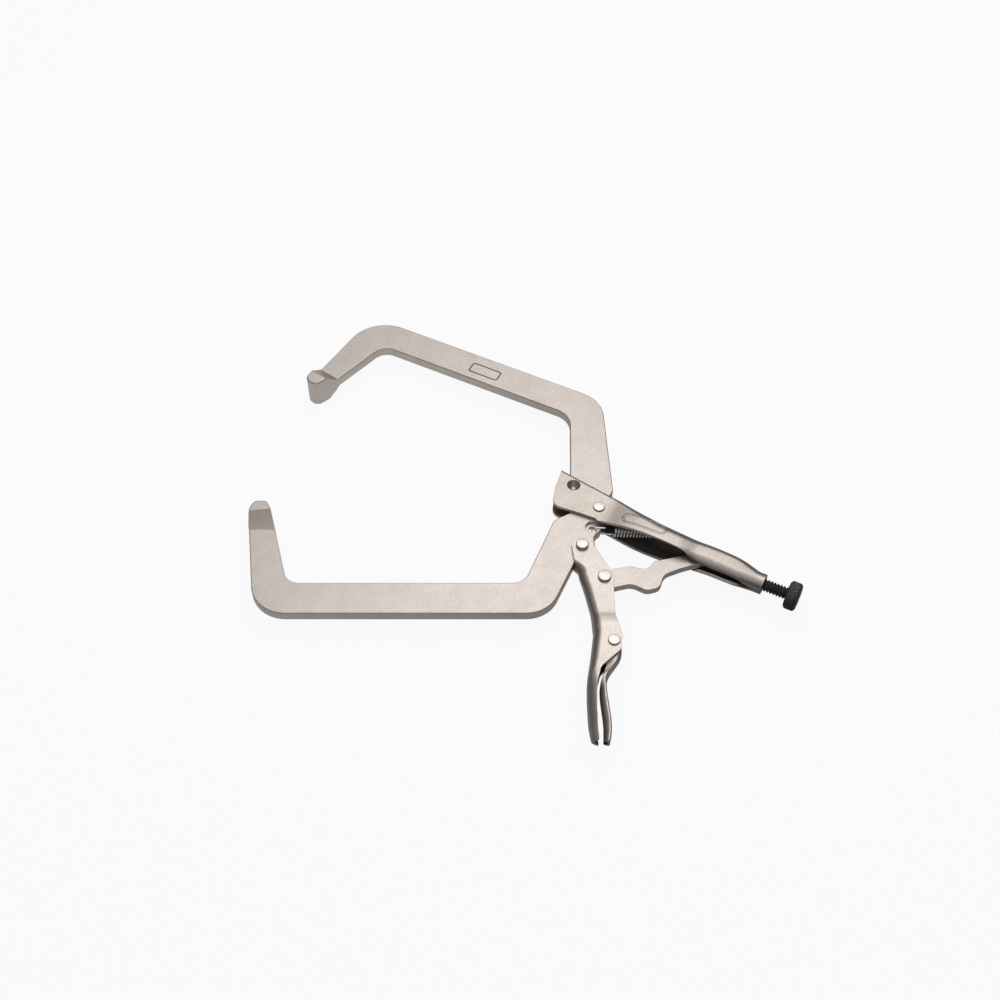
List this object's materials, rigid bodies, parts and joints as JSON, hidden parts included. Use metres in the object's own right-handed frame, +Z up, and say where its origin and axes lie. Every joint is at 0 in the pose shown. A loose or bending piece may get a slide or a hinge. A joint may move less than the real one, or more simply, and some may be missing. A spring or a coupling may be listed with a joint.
{
  "type": "locking c-clamp",
  "caption": "Hand-operated locking C-clamp with two wide bent plate jaws, a folded sheet handle, toggle link, release lever, return spring and a knurled adjusting screw.",
  "frame": {"origin": "middle of the underside of the whole clamp's box, as it lies open on its side", "axes": "+X towards the screw head's end, along the lower jaw's bar; +Y away from the user across the jaw opening; +Z up, along all hinge axes"},
  "size_m": [0.4114, 0.3978, 0.0264],
  "materials": {
    "satin_nickel": "satin nickel plate, finely grained",
    "spring_steel": "drawn wire",
    "black_oxide": "blackened steel"
  },
  "bodies": {
    "fixed_body": {"fixed_handle": "satin_nickel", "upper_jaw": "satin_nickel", "jaw_rivet": "satin_nickel", "return_spring": "spring_steel"},
    "moving_jaw": {"lower_jaw": "satin_nickel"},
    "closing_handle": {"lower_handle": "satin_nickel", "handle_rivet": "satin_nickel", "link_rivet": "satin_nickel", "lever_rivet": "satin_nickel", "link_washer_upper": "satin_nickel", "link_washer_lower": "satin_nickel"},
    "toggle": {"toggle_link": "satin_nickel"},
    "release": {"release_lever": "satin_nickel"},
    "screw": {"adjusting_screw": "black_oxide"}
  },
  "joints": [
    {"name": "jaw_hinge", "type": "hinge", "parent": "fixed_body", "child": "moving_jaw", "pos_m": [0.05936, -0.00088, 0.0132], "axis": [0, 0, -1], "range_deg": [0, 27.9], "stiffness_Nm_per_rad": 0.6, "springref_deg": -17.19, "deforming": ["return_spring"]},
    {"name": "handle_hinge", "type": "hinge", "parent": "moving_jaw", "child": "closing_handle", "pos_m": [0.04536, -0.03688, 0.0132], "axis": [0, 0, 1], "range_deg": [0, 57.8]},
    {"name": "link_hinge", "type": "hinge", "parent": "closing_handle", "child": "toggle", "pos_m": [0.06066, -0.06578, 0.0132], "axis": [0, 0, -1], "range_deg": [0, 46.9]},
    {"name": "lever_hinge", "type": "hinge", "parent": "closing_handle", "child": "release", "pos_m": [0.06476, -0.12118, 0.0132], "axis": [0, 0, 1], "range_deg": [-2, 5]},
    {"name": "screw_slide", "type": "slide", "parent": "fixed_body", "child": "screw", "axis": [0.8926, -0.4509, 0], "range_m": [0, 0.02]}
  ],
  "couplings": [
    {"joint": "handle_hinge", "follows": "jaw_hinge", "ratio": 2.0716},
    {"joint": "link_hinge", "follows": "jaw_hinge", "ratio": 1.6811}
  ]
}
